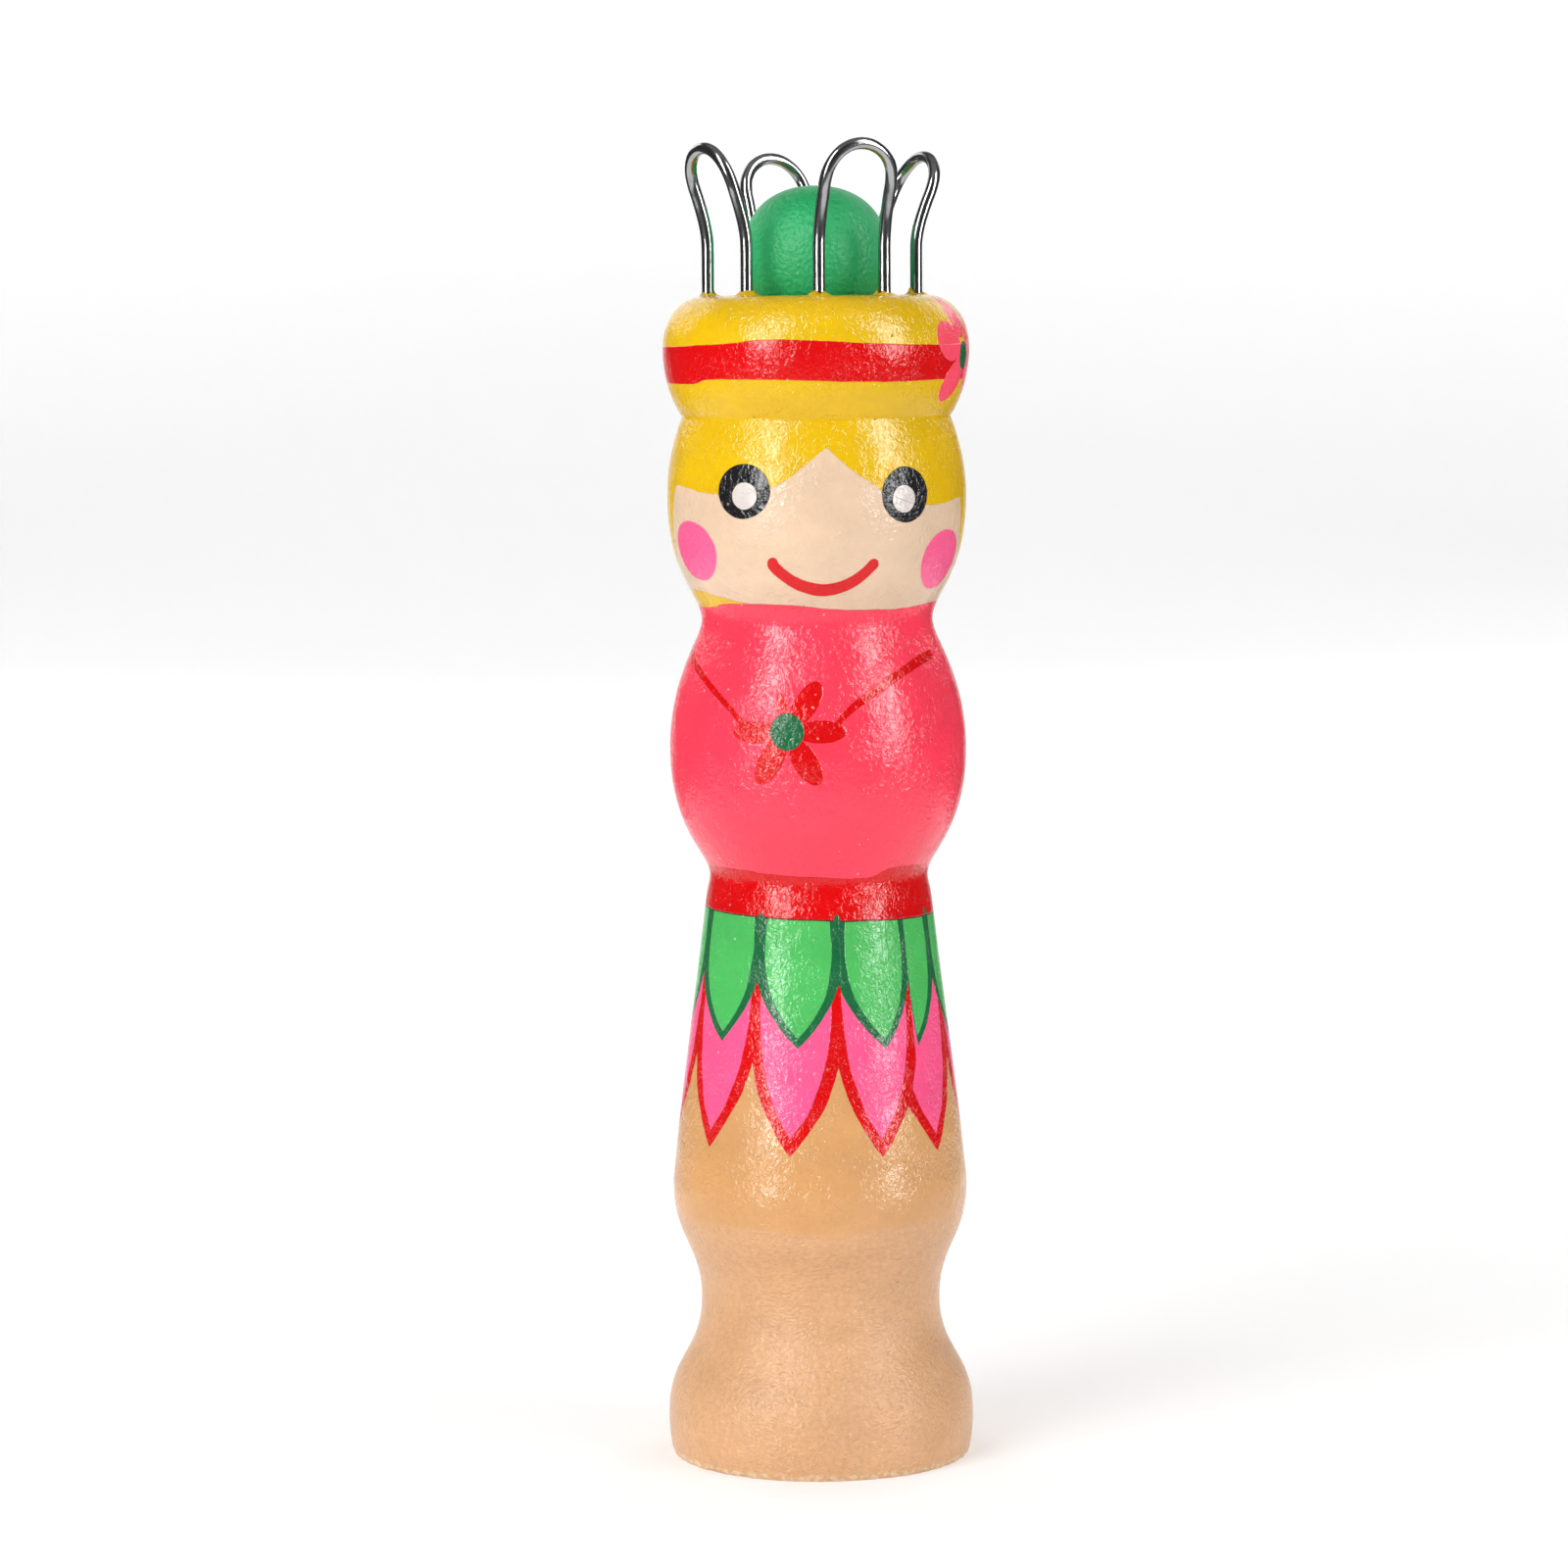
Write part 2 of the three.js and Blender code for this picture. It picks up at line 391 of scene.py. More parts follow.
def smooth_line(points, step, crease=math.radians(28)):
    """Points about a step apart on a smooth curve through the given points. Sharp corners stay sharp."""
    points = [np.array(point, float) for point in points]
    chords = [b - a for a, b in zip(points, points[1:])]
    lengths = [np.linalg.norm(chord) for chord in chords]
    ways = [chord / length for chord, length in zip(chords, lengths)]
    through = [None] * len(points)   # the line's direction at each point that isn't a corner
    for i in range(1, len(points) - 1):
        if np.dot(ways[i - 1], ways[i]) < math.cos(crease):
            continue
        before, after = lengths[i - 1], lengths[i]
        way = (ways[i - 1] * after + ways[i] * before) / (before + after)
        through[i] = way / np.linalg.norm(way)
    line = [points[0]]
    for i, (a, b, length) in enumerate(zip(points, points[1:], lengths)):
        out, into = through[i], through[i + 1]
        if out is None:
            out = ways[i] if into is None else 2 * ways[i] - into
        if into is None:
            into = 2 * ways[i] - out
        count = max(1, math.ceil(length / step))
        for k in range(1, count + 1):
            t = k / count
            line.append(
                (2 * t**3 - 3 * t**2 + 1) * a + (t**3 - 2 * t**2 + t) * length * out
                + (3 * t**2 - 2 * t**3) * b + (t**3 - t**2) * length * into
            )
    return line


CAD_WIRE_SIDES = 8


def centre_line(node):
    """The centre line of a swept CAD node: the middle of each ring of its vertices, from end to end."""
    mesh = bmesh.new()
    mesh.from_mesh(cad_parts[node].data)
    bmesh.ops.remove_doubles(mesh, verts=mesh.verts, dist=1e-6)
    mesh.verts.index_update()
    sides = CAD_WIRE_SIDES
    first = min(mesh.verts, key=lambda v: (round(v.co.z, 5), round(v.co.x, 5)))
    near = sorted(mesh.verts, key=lambda v: (v.co - first.co).length)
    ring = set(sorted(near[:2 * sides], key=lambda v: v.co.z)[:sides])
    seen = set(ring)
    centres = []
    while ring:
        in_order = sorted(ring, key=lambda v: v.index)
        centres.append(sum((v.co for v in in_order), Vector()) / len(ring))
        following = {edge.other_vert(v) for v in ring for edge in v.link_edges} - seen
        seen |= following
        ring = following
    mesh.free()
    return centres


# ---- Mesh builders ----

def turned_mesh(name, outline, sides, closed):
    """A mesh turned around Z from (radius, height) points. A point on the axis becomes one vertex."""
    vertices, rings, faces = [], [], []
    for radius, height in outline:
        if radius < 1e-7:
            rings.append([len(vertices)] * sides)
            vertices.append((0, 0, height))
            continue
        rings.append(list(range(len(vertices), len(vertices) + sides)))
        for k in range(sides):
            angle = 2 * math.pi * k / sides
            vertices.append((radius * math.sin(angle), -radius * math.cos(angle), height))
    pairs = list(zip(rings, rings[1:]))
    if closed:
        pairs.append((rings[-1], rings[0]))
    for low, high in pairs:
        for k in range(sides):
            after = (k + 1) % sides
            corners = [low[k], low[after], high[after], high[k]]
            faces.append(list(dict.fromkeys(corners)))
    mesh = bpy.data.meshes.new(name)
    mesh.from_pydata(vertices, [], faces)
    mesh.polygons.foreach_set("use_smooth", [True] * len(mesh.polygons))
    return mesh


def swept_mesh(name, line, radii, sides):
    """A round bar along a line of points, closed at both ends, with one radius for each point."""
    line = [Vector(point) for point in line]
    ways = [(b - a).normalized() for a, b in zip(line, line[1:])]
    ways.append(ways[-1])
    side = ways[0].orthogonal().normalized()
    vertices, faces = [], []
    for point, way, radius in zip(line, ways, radii):
        side = (side - way * side.dot(way)).normalized()
        up = way.cross(side)
        for k in range(sides):
            angle = 2 * math.pi * k / sides
            vertices.append(point + radius * (math.cos(angle) * side + math.sin(angle) * up))
    for i in range(len(line) - 1):
        for k in range(sides):
            after = (k + 1) % sides
            low, high = i * sides, (i + 1) * sides
            faces.append((low + k, low + after, high + after, high + k))
    faces.append(tuple(reversed(range(sides))))
    faces.append(tuple(range(len(vertices) - sides, len(vertices))))
    mesh = bpy.data.meshes.new(name)
    mesh.from_pydata(vertices, [], faces)
    mesh.polygons.foreach_set("use_smooth", [True] * len(mesh.polygons))
    return mesh


# ---- Body ----

BODY_SIDES = 256
WALL_STEP = 0.36 * MM
FOOT_STEP = 0.6 * MM
CROWN_STEP = 0.16 * MM
BORE_STEP = 4 * MM
# Heights on the texture map of the bottom, the wall, the crown and the bore, and of the map's end.
MAP_BANDS = [(0.05, 0.095), (0.1, 0.96), (0.965, 0.985), (0.987, 0.998)]
MAP_END = 0.9995


def body_outline():
    """The doll's closed outline, in four parts: the bottom, the wall, the crown and the bore."""
    rings = turned_rings("doll_body")
    bore = min(radius for radius, _ in rings)
    outer = [ring for ring in rings if ring[0] > 1.5 * bore]
    inner = [ring for ring in rings if ring[0] <= 1.5 * bore]
    low_mouth, high_mouth = inner[0], inner[-1]
    wall = smooth_line(outer, WALL_STEP)
    bottom = smooth_line([low_mouth, outer[0]], FOOT_STEP)[:-1]
    crown = smooth_line([outer[-1], high_mouth], CROWN_STEP)[1:]
    hole = smooth_line([high_mouth, inner[-2], inner[1]], BORE_STEP)[1:]
    return [bottom, wall, crown, hole]


def map_body(mesh, parts):
    """A texture map that gives nearly all of its square to the painted wall."""
    heights = []
    for part, (low, high) in zip(parts, MAP_BANDS):
        spans = [np.linalg.norm(b - a) for a, b in zip(part, part[1:])]
        heights += list(low + (high - low) * np.cumsum([0.0] + spans) / sum(spans))
    layer = mesh.uv_layers.new(name="OFBake")
    for polygon in mesh.polygons:
        rings = [index // BODY_SIDES for index in polygon.vertices]
        sides = [(index % BODY_SIDES + BODY_SIDES // 2) % BODY_SIDES for index in polygon.vertices]
        over_side_seam = max(sides) - min(sides) > 1
        over_ring_seam = max(rings) - min(rings) > 1
        for loop, ring, side in zip(polygon.loop_indices, rings, sides):
            across = BODY_SIDES if over_side_seam and side == 0 else side
            along = MAP_END if over_ring_seam and ring == 0 else heights[ring]
            layer.data[loop].uv = (0.002 + 0.996 * across / BODY_SIDES, along)


def make_body():
    parts = body_outline()
    outline = [point for part in parts for point in part]
    mesh = turned_mesh("doll", outline, BODY_SIDES, True)
    map_body(mesh, parts)
    doll = make_object("doll", mesh)
    roughen_body(doll)
    doll.data.materials.append(doll_paint())
    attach(doll, "doll")
    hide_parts("doll_body")
    return doll


WALL_WAVE = 0.05 * MM
FOOT_CHIP = 0.16 * MM
CHIPPED_HEIGHT = 0.9 * MM
LIP_HEIGHT = 0.5 * MM
LIP_WIDTH = 0.34 * MM
CROWN_GRAIN = 0.07 * MM
HOLE_DEPTH = 1.5 * MM


def wire_feet():
    """Where each leg of each hook meets the crown, and the wire's radius."""
    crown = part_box("doll_body")[1].z
    feet = []
    for node in HOOKS:
        line = centre_line(node)
        for a, b in zip(line, line[1:]):
            if (a.z - crown) * (b.z - crown) <= 0:
                feet.append(a.lerp(b, (crown - a.z) / (b.z - a.z)).to_2d())
    return feet, wire_radius(HOOKS[0])


def crown_lift(place, feet, wire):
    """How far the crown stands proud at a place: torn wood fibres round each wire, and raised grain."""
    grain = noise.noise(Vector((place.x * 0.4, place.y, 0)) / (0.5 * MM))
    lift = grain * CROWN_GRAIN
    for foot in feet:
        away = (place - foot).length
        if away < 0.8 * wire:
            return -HOLE_DEPTH
        torn = 0.55 + noise.noise(Vector((*(place - foot) * 1.0, foot.x * 9)) / (0.45 * MM))
        lift += LIP_HEIGHT * max(0.0, torn) * math.exp(-(((away - wire) / LIP_WIDTH) ** 2))
    return lift


def roughen_body(doll):
    """The small unevenness of hand work: wavy walls, a chipped edge round the feet, a torn crown."""
    bore = min(radius for radius, _ in turned_rings("doll_body"))
    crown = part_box("doll_body")[1].z
    feet, wire = wire_feet()
    for vertex in doll.data.vertices:
        x, y, z = vertex.co
        radius = math.hypot(x, y)
        if radius < 1.06 * bore:
            continue
        if z > crown - 0.01 * MM:
            vertex.co.z += crown_lift(vertex.co.xy, feet, wire)
            continue
        wave = noise.noise(Vector((x, y, z * 0.6)) / (7 * MM)) * WALL_WAVE
        edge = max(0.0, 1 - z / CHIPPED_HEIGHT) * (radius > 2.2 * bore)
        chip = (noise.noise(Vector((x, y, 2 * z)) / (0.7 * MM)) - 0.3) * FOOT_CHIP * edge
        factor = 1 + (wave + min(0.0, chip)) / radius
        vertex.co.x *= factor
        vertex.co.y *= factor


# ---- The painting on the body ----

YELLOW = (0.66, 0.4, 0.002)
RED = (0.58, 0.001, 0.002)
SKIN = (0.66, 0.475, 0.33)
CHEEK = (0.86, 0.1, 0.25)
BLACK = (0.012, 0.011, 0.012)
WHITE = (0.62, 0.55, 0.52)
CORAL = (0.84, 0.04, 0.08)
LEAF = (0.065, 0.42, 0.095)
DARK_GREEN = (0.01, 0.12, 0.04)
PINK = (0.86, 0.085, 0.23)
FLOWER_PINK = (0.86, 0.07, 0.12)
PALE_WOOD = (0.6, 0.33, 0.165)
DEEP_WOOD = (0.57, 0.29, 0.108)

WALL_MM_PER_DEGREE = 0.215

# (left divider, tip, right divider) of each painted leaf under the belt, in degrees.
LEAVES_BEHIND = [(43.3, 46.0, 64.0)]
LEAVES = [
    (-180, -163.5, -147), (-147, -129.5, -112), (-112, -91, -72.5), (-72.5, -50.5, -32.5),
    (-32.5, -12, 6.5), (6.5, 27.5, 43.1), (64, 82, 102), (102, 121.5, 141), (141, 160, 180),
]
LEAF_TIP = 35.3
LEAF_HALF_WIDTHS = [(0.8, 0), (1.6, 0.2), (2.4, 0.37), (3.4, 0.54), (4.4, 0.67), (5.4, 0.75), (6.4, 0.8),
                    (8, 0.84), (10.4, 0.81)]
LEAF_EDGE = [(0, 0), (0.27, 1.0), (0.5, 2.0), (0.73, 3.2), (0.9, 4.3), (1, 5.2)]

# The same for the petals below the leaves.
PETALS_BEHIND = [(30, 52, 70)]
PETALS = [
    (-180, -162, -143), (-143, -125, -107), (-107, -90, -70), (-70, -52.5, -32.5), (-32.5, -14.5, 5.5),
    (5.5, 23, 43), (70, 88, 106), (106, 124, 143), (143, 161, 180),
]
PETAL_TIP = 26.6
PETAL_HALF_WIDTHS = [(1.4, 0), (2.4, 0.17), (3.4, 0.34), (4.4, 0.45), (5.7, 0.58), (7.2, 0.7), (8.2, 0.75),
                     (9.7, 0.82), (11.7, 0.87), (14.2, 0.88)]
PETAL_EDGE = [(0, 0), (0.17, 0.8), (0.44, 2.4), (0.72, 4.2), (0.89, 5.9), (1, 7.3)]

# Painted borders: height in millimetres against degrees round the doll.
HAT_BAND_TOP = [(-180, 92.3), (-100, 92.1), (-62, 92.2), (-32, 92.5), (-17, 92.7), (0, 92.6), (28, 92.3),
                (60, 92.2), (110, 92.4), (180, 92.3)]
HAT_BAND_BOTTOM = [(-180, 89.3), (-100, 89.2), (-62, 89.1), (-52, 89.3), (-40, 89.55), (-15, 89.5),
                   (28, 89.3), (60, 89.4), (120, 89.2), (180, 89.3)]
FACE_TOP = [(-92, 71.2), (-86, 73.2), (-80, 76), (-76.5, 78), (-72.5, 80.4), (-70, 80.9), (-60, 80.7),
            (-50, 80.4), (-40, 80.3), (-22, 80.8), (-15, 81.4), (-8, 82.5), (-2, 83.5), (1.5, 84.1),
            (6, 83.2), (11, 82.3), (18, 81.3), (25, 80.4), (45, 79.3), (55, 79.4), (64, 79.7), (69, 79.8),
            (71.5, 78), (75, 75.8), (80, 74), (86, 71.2)]
FACE_BOTTOM = [(-92, 73), (-82, 72.2), (-72, 72.3), (-57, 72), (-42, 71.6), (-30, 71.2), (0, 70.6),
               (86, 70.6)]
JUMPER_TOP = [(-180, 71.1), (-82, 70.9), (-60, 71), (-42, 71.4), (-22, 71.4), (0, 71.1), (28, 70.9),
              (50, 71), (70, 71.2), (120, 71.3), (180, 71.1)]
BELT_TOP = [(-180, 49.4), (-72, 49.6), (-50, 49.6), (-32, 49.4), (0, 49.2), (20, 49.05), (28, 49.2),
            (33, 49.55), (48, 49.8), (58, 49.7), (80, 49.2), (180, 49.4)]
NECKLACE_LEFT = [(-110, 67.5), (-82, 67), (-72, 66.35), (-62, 65.6), (-52, 64.6), (-42, 63.4), (-32, 61.8)]
NECKLACE_RIGHT = [(3, 61.4), (8.5, 62.7), (16, 63.8), (27, 65), (38, 65.95), (48, 66.6), (62, 67.1)]
FACE_CORNERS = (-72.5, 1.5, 69)
FACE_MIDDLE = -3
FACE_HALF_SPAN = 89

# Ellipses: degrees round the doll, height, half width and half height in millimetres, lean in degrees.
CHEEKS = [(-60, 75.62, 3.05, 2.45), (58, 74.8, 2.95, 2.45)]
EYES = [(-31.3, 80.6, 2.4, 2.2), (33.4, 80.25, 2.3, 2.25)]
PUPILS = [(-30.7, 80.25, 1.14, 1.08), (32.4, 79.9, 1.12, 1.12)]
SMILE_END = (-20, 74.75, 0.5, 0.56)
PENDANT_PETALS = [
    (-7.2, 63.5, 2.1, 0.98, 56), (-1.6, 61.3, 2.15, 0.92, 0), (-7.3, 58.9, 2.15, 1.0, -58),
    (-20.8, 58.9, 2.1, 1.0, 60), (-26.8, 61.2, 2.1, 0.9, 0), (-16.2, 63.1, 1.3, 0.46, -72),
]
PENDANT_MIDDLE = (-14.3, 61.3, 1.42, 1.48)
HAT_PETALS = [
    (57.3, 92.5, 1.9, 1.5, -30), (62, 89.4, 2.3, 1.25, 42), (67, 94.4, 1.3, 1.7, 6),
    (79.5, 93.4, 1.9, 1.1, 40), (78.5, 89.5, 1.8, 1.1, -40), (69, 91.4, 1.7, 1.0, 0),
]
HAT_FLOWER_MIDDLE = (70, 91.3, 0.98, 1.15)

# The edge of the clear lacquer on the lower wood.
LACQUER_EDGE = [(-180, 20.4), (-120, 20.9), (-70, 20.5), (-30, 20.6), (0, 20.2), (40, 20.7), (90, 20.3),
                (140, 20.8), (180, 20.4)]


class Painting(Surface):
    """The doll's painted surface, with its coordinates in degrees around and millimetres up."""

    def __init__(self, name, colour):
        super().__init__(name, colour)
        radians = self.x.math("ARCTAN2", -self.y)
        wobble = self.noise(0.45, 1, offset=3.0) + self.noise(2.6, 2, offset=9.0) * 0.35
        wobble_up = self.noise(0.45, 1, offset=17.0) + self.noise(2.6, 2, offset=31.0) * 0.35
        self.true_around = radians * math.degrees(1)
        self.around = self.true_around + wobble * 0.9
        self.up = self.z + wobble_up * 0.16
        self.coat = 0.0

    def paint(self, share, colour, thickness=0.035):
        """Lays colour and adds the thickness of the paint, in millimetres, to the relief."""
        self.lay(share, colour)
        self.coat = share * thickness + self.coat

    def inside(self, distance, soft=0.05):
        """1 where a signed distance in millimetres is negative, with a soft edge."""
        return (0.5 - distance / soft).clamped()

    def above(self, border, corners=()):
        """How far a place is above a painted border, in millimetres."""
        return self.up - self.curve(self.around, border, corners)

    def blob(self, around, up, half_width, half_height, lean=0.0):
        """Signed distance to an ellipse at a place on the wall, half sizes in mm, lean in degrees."""
        across = (self.around - around) * WALL_MM_PER_DEGREE
        rise = self.up - up
        if lean:
            turn = math.radians(lean)
            across, rise = (
                across * math.cos(turn) + rise * math.sin(turn),
                rise * math.cos(turn) - across * math.sin(turn),
            )
        span = (across / half_width).math("POWER", 2.0) + (rise / half_height).math("POWER", 2.0)
        return (span.math("SQRT") - 1.0) * min(half_width, half_height)

    def arc(self, around, up, radius, half_angle, half_thickness):
        """Signed distance to a smile: a stroke along the bottom of a circle centred at a place."""
        across = (self.around - around) * WALL_MM_PER_DEGREE
        rise = self.up - up
        end_x, end_y = radius * math.sin(half_angle), -radius * math.cos(half_angle)
        length = (across.math("POWER", 2.0) + rise.math("POWER", 2.0)).math("SQRT")
        ring = abs(length - radius)
        within = (rise * end_x - abs(across) * end_y).math("LESS_THAN", 0.0)
        cap = ((abs(across) - end_x).math("POWER", 2.0) + (rise - end_y).math("POWER", 2.0)).math("SQRT")
        return ring * within + cap * (1.0 - within) - half_thickness

    def scallops(self, cells):
        """0 at each tip and 1 at each divider of a row of leaves, and more than 1 outside the row."""
        share = None
        for left, tip, right in cells:
            here = ((tip - self.around) / (tip - left)).most((self.around - tip) / (right - tip))
            share = here if share is None else share.least(here)
        return share

    def leaf_row(self, cells, tip, half_widths, edge, outline, colour, sway):
        """Paints a row of pointed leaves or petals with a darker outline that fills up to the dividers."""
        share = self.scallops(cells)
        height = self.up - tip - sway
        row = self.inside(self.curve(share, edge) - height) * self.inside((share - 1.03) * 4.0)
        self.paint(row, outline)
        within = self.inside((share - self.curve(height, half_widths)) * 3.2)
        self.paint(within * self.inside(half_widths[0][0] - height), colour)


def doll_paint():
    """The hand painting over pale wood, from the wood up to the last coat."""
    p = Painting("doll_paint", PALE_WOOD)
    paint_wood(p)
    sway = p.true_around.math("MULTIPLY", math.radians(1)).math("SINE") * -0.3
    p.leaf_row(PETALS_BEHIND, PETAL_TIP, PETAL_HALF_WIDTHS, PETAL_EDGE, RED, PINK, sway)
    p.leaf_row(PETALS, PETAL_TIP, PETAL_HALF_WIDTHS, PETAL_EDGE, RED, PINK, sway)
    p.leaf_row(LEAVES_BEHIND, LEAF_TIP, LEAF_HALF_WIDTHS, LEAF_EDGE, DARK_GREEN, LEAF, sway)
    p.leaf_row(LEAVES, LEAF_TIP, LEAF_HALF_WIDTHS, LEAF_EDGE, DARK_GREEN, LEAF, sway)
    belt_bottom = p.up - 45.75 - sway
    p.coat = p.coat * p.inside(belt_bottom - 0.5, 0.8)   # the leaves end a little way under the belt
    p.lay(p.inside(-belt_bottom - 0.12), (0.1, 0.012, 0.008))
    p.paint(p.inside(-belt_bottom), RED)
    for left, _, _ in LEAVES:
        p.lay(p.inside(p.blob(left, 45.55, 0.36, 0.62)), DARK_GREEN)
    p.paint(p.inside(-p.above(BELT_TOP)), CORAL)
    paint_necklace(p)
    p.paint(p.inside(-p.above(JUMPER_TOP)), YELLOW)
    paint_face(p)
    paint_hat(p)
    finish_doll(p)
    return p.material


def paint_wood(p):
    """Bare wood at the feet, and the same wood under clear lacquer above them."""
    grain = p.noise(1.0, 4, stretch=(2.2, 2.2, 0.12), offset=5.0, roughness=0.6)
    cloud = p.noise(0.12, 2, stretch=(1, 1, 0.6), offset=11.0)
    streak = p.noise(3.5, 3, stretch=(2, 2, 0.09), offset=23.0)
    p.lacquer = p.above(LACQUER_EDGE).between(-0.5, 0.5)
    p.lay((p.lacquer * 0.75 + cloud * 0.9 + 0.1).clamped(), DEEP_WOOD)
    p.lay(grain.between(0.08, 0.3) * 0.22, (0.55, 0.28, 0.11))
    p.lay(streak.between(0.12, 0.3) * 0.2, (0.84, 0.56, 0.33))
    pores = p.specks(0.9, 0.35, 0.22, stretch=(2.4, 2.4, 0.35), offset=41.0)
    p.lay(pores * 0.3, (0.36, 0.17, 0.07))


def paint_necklace(p):
    """The red necklace and its five-petalled flower, on the jumper."""
    left = abs(p.above(NECKLACE_LEFT)) * 0.9 - 0.27
    left = left.most((p.around + 31) * WALL_MM_PER_DEGREE).most((-110 - p.around) * WALL_MM_PER_DEGREE)
    right = abs(p.above(NECKLACE_RIGHT)) * 0.93 - 0.36
    right = right.most((p.around - 61) * WALL_MM_PER_DEGREE).most((3 - p.around) * WALL_MM_PER_DEGREE)
    shape = left.least(right)
    for petal in PENDANT_PETALS:
        shape = shape.least(p.blob(*petal))
    p.paint(p.inside(shape), RED)
    p.paint(p.inside(p.blob(*PENDANT_MIDDLE)), DARK_GREEN)


def paint_face(p):
    """The face between the hair and the jumper, with its cheeks, smile and eyes."""
    skin = p.inside(p.above(FACE_TOP, FACE_CORNERS)) * p.inside(-p.above(FACE_BOTTOM))
    skin = skin * p.inside(-p.above(JUMPER_TOP))
    inside_hair = p.inside((abs(p.around - FACE_MIDDLE) - FACE_HALF_SPAN) * WALL_MM_PER_DEGREE)
    p.paint(skin * inside_hair, SKIN)
    for cheek in CHEEKS:
        p.paint(p.inside(p.blob(*cheek), 0.12), CHEEK)
    smile = p.arc(0.2, 78.4, 5.75, math.radians(49), 0.5).least(p.blob(*SMILE_END))
    p.paint(p.inside(smile), RED)
    for eye in EYES:
        p.paint(p.inside(p.blob(*eye)), BLACK)
    for pupil in PUPILS:
        p.paint(p.inside(p.blob(*pupil)), WHITE)


def paint_hat(p):
    """The hat's red band, and the flower on its side."""
    band = p.inside(-p.above(HAT_BAND_BOTTOM)) * p.inside(p.above(HAT_BAND_TOP))
    p.paint(band, RED)
    shape = p.blob(*HAT_PETALS[0])
    for petal in HAT_PETALS[1:]:
        shape = shape.least(p.blob(*petal))
    p.paint(p.inside(shape), FLOWER_PINK)
    p.paint(p.inside(p.blob(*HAT_FLOWER_MIDDLE)), DARK_GREEN)


def finish_doll(p):
    """Bare wood in the bore and under the feet, pale specks that are partly dust under the gloss and partly
    painted glints, and the paint's skin.
    """
    radius = (p.x.math("POWER", 2.0) + p.y.math("POWER", 2.0)).math("SQRT")
    ragged = p.noise(1.2, 3, offset=51.0) * 0.9
    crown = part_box("doll_body")[1].z / MM
    bore = p.inside(radius - 5.7 + ragged, 0.2)
    bottom = p.inside(p.z - 0.05, 0.1)
    p.lay(bore.most(bottom), (0.78, 0.52, 0.3))
    fringe = (p.z - 0.45 + ragged * 0.8).between(0.25, -0.1)
    broken = p.noise(2.2, 2, offset=57.0).between(-0.05, 0.1)
    p.lay(fringe * (broken * 0.5 + 0.12), (0.72, 0.58, 0.4))

    brushed = p.noise(0.14, 3, stretch=(1, 1, 2.2), offset=61.0)
    p.tint(brushed * 0.3 + p.noise(1.4, 3, offset=67.0) * 0.12)
    p.tint((1.0 - p.lacquer) * p.noise(2.6, 3, offset=69.0) * 0.35)
    # Pale specks: partly dust, partly painted glints, i.e. light caught on little bumps laid in as colour.
    dust_and_glints = p.specks(0.9, 0.5, 0.12, offset=71.0)
    pits = p.specks(0.7, 0.35, 0.11, offset=83.0)
    p.lay(dust_and_glints * 0.5, (0.8, 0.72, 0.62))
    p.lay(pits * 0.65, (0.13, 0.06, 0.03))

    waves = p.noise(0.5, 1, offset=91.0) * 0.1
    crinkled = p.noise(0.4, 1, offset=107.0).between(-0.12, 0.12) * 0.55 + 0.5
    crinkle = p.noise(2.4, 2, offset=97.0, roughness=0.55, distortion=0.8) * crinkled * 0.13
    skin = waves + crinkle + p.coat
    sanded = p.noise(2.8, 3, stretch=(1, 1, 1.6), offset=101.0) * 0.14
    gloss = p.lacquer
    relief = skin * (gloss * 0.2 + 0.8) + sanded * (1.0 - gloss) + dust_and_glints * 0.05 - pits * 0.06
    patch = p.noise(0.3, 2, offset=103.0)
    rough = 0.12 + patch * 0.08
    rough = rough * gloss + (0.25 + patch * 0.1) * (1.0 - gloss)
    rough = rough.most(bore * 0.7)
    p.finish(roughness=rough, shine=0.45, relief=relief)


# ---- Hooks ----

WIRE_SIDES = 20
WIRE_STEP = 0.22 * MM
HOOKS = ["hook_front_right", "hook_back_right", "hook_back_left", "hook_front_left"]


def wire_radius(node):
    """Half the wire's thickness, from the flat end of a leg."""
    line = centre_line(node)
    lowest = min(vertex.co.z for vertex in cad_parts[node].data.vertices)
    ends = [v.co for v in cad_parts[node].data.vertices if v.co.z < lowest + 1e-5]
    return max((end - line[0]).length for end in ends if (end - line[0]).length < 1 * MM)


def make_hooks():
    finish = steel_finish()
    for node in HOOKS:
        radius = wire_radius(node)
        line = smooth_line([tuple(point) for point in centre_line(node)], WIRE_STEP)
        radii = []
        for i, point in enumerate(line):
            end = min(i, len(line) - 1 - i) * WIRE_STEP
            uneven = 1 + 0.02 * noise.noise(Vector(point) / (3 * MM))
            radii.append(radius * uneven * min(1.0, 0.75 + end / (1.2 * MM)))
        wire = make_object(node + "_wire", swept_mesh(node, line, radii, WIRE_SIDES))
        wire.data.materials.append(finish)
        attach(wire, "doll")
        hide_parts(node)


def steel_finish():
    """Bright drawn wire: fine lines along it, a few nicks, and duller patches."""
    s = Surface("steel_wire")
    dull = s.noise(0.5, 3, offset=7.0)
    s.colour = s.mixed(dull.between(-0.1, 0.35), (0.42, 0.42, 0.43), (0.28, 0.275, 0.27))
    scratches = s.noise(6.0, 3, stretch=(1, 1, 0.12), offset=13.0)
    nicks = s.specks(0.5, 0.3, 0.2, stretch=(1, 1, 0.7), offset=19.0)
    relief = scratches * 0.006 - nicks * 0.03
    s.finish(roughness=dull * 0.1 + 0.16, metallic=1.0, relief=relief)
    return s.material


# ---- Needle ----

SOCKET_GAP = 0.02 * MM
SOCKET_DEPTH = 5 * MM


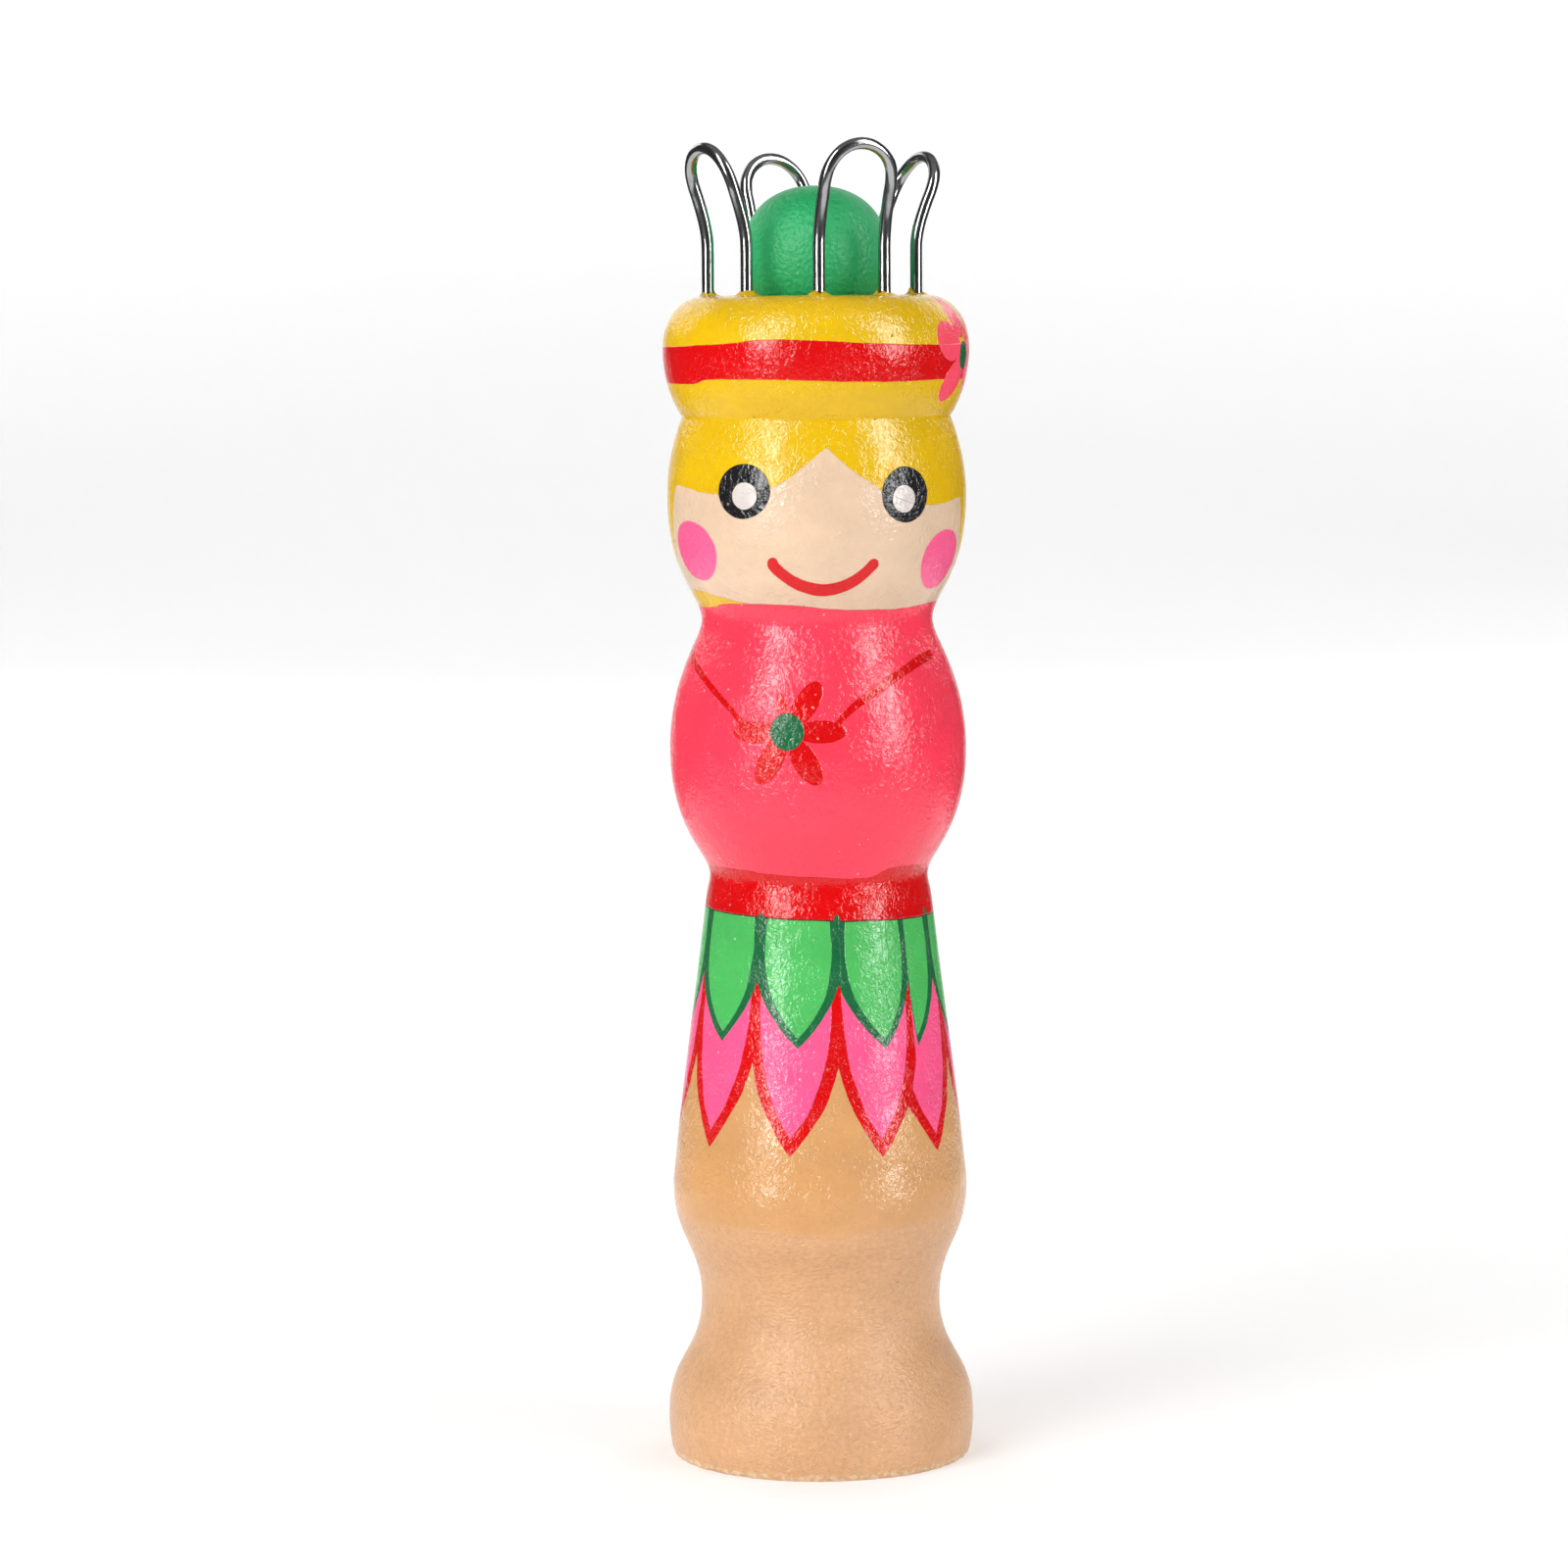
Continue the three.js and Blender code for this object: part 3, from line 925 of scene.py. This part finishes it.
def make_needle():
    low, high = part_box("needle_ball")
    shank_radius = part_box("needle_shank")[1].x
    rings = turned_rings("needle_ball")
    socket = rings[0][0]
    outer = [ring for ring in rings if abs(ring[0] - socket) > 0.01 * MM]
    rim = [shank_radius + SOCKET_GAP, low.z]
    top = [0.0, high.z]
    outline = [(0.0, rim[1] + SOCKET_DEPTH), (rim[0], rim[1] + SOCKET_DEPTH)]
    outline += [tuple(point) for point in smooth_line([rim] + outer + [top], 0.2 * MM)]
    outline[-1] = (0.0, high.z)
    ball = make_object("needle_head", turned_mesh("needle_head", outline, 144, False))
    ball.data.materials.append(ball_paint())
    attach(ball, "needle")
    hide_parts("needle_ball")

    low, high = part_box("needle_shank")
    rings = turned_rings("needle_shank")
    outline = [(0.0, low.z)] + [tuple(point) for point in smooth_line(rings, 0.4 * MM)] + [(0.0, high.z)]
    shank = make_object("needle_rod", turned_mesh("needle_rod", outline, 64, False))
    shank.data.materials.append(bare_wood())
    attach(shank, "needle")
    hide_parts("needle_shank")


def ball_paint():
    """Satin green paint with the texture of a sponged coat."""
    s = Surface("ball_paint")
    cloud = s.noise(0.35, 3, offset=3.0)
    s.colour = s.mixed(cloud + 0.5, (0.01, 0.33, 0.095), (0.02, 0.39, 0.135))
    pits = s.specks(1.1, 0.25, 0.12, offset=9.0)
    s.lay(pits * 0.4, (0.02, 0.2, 0.08))
    relief = s.noise(2.6, 2, offset=15.0, roughness=0.5) * 0.2 - pits * 0.05
    s.finish(roughness=cloud * 0.12 + 0.42, shine=0.3, relief=relief)
    return s.material


def bare_wood():
    """Pale sanded wood with its grain along Z."""
    s = Surface("bare_wood")
    grain = s.noise(1.6, 4, stretch=(2, 2, 0.08), offset=2.0, roughness=0.6)
    s.colour = s.mixed(grain.between(-0.25, 0.3), (0.8, 0.58, 0.36), (0.62, 0.38, 0.19))
    relief = grain * 0.03 + s.noise(5, 2, offset=8.0) * 0.01
    s.finish(roughness=0.6, relief=relief)
    return s.material


make_camera()
make_floor()
make_flag()
make_lights()
make_body()
make_hooks()
make_needle()

bpy.context.view_layer.update()
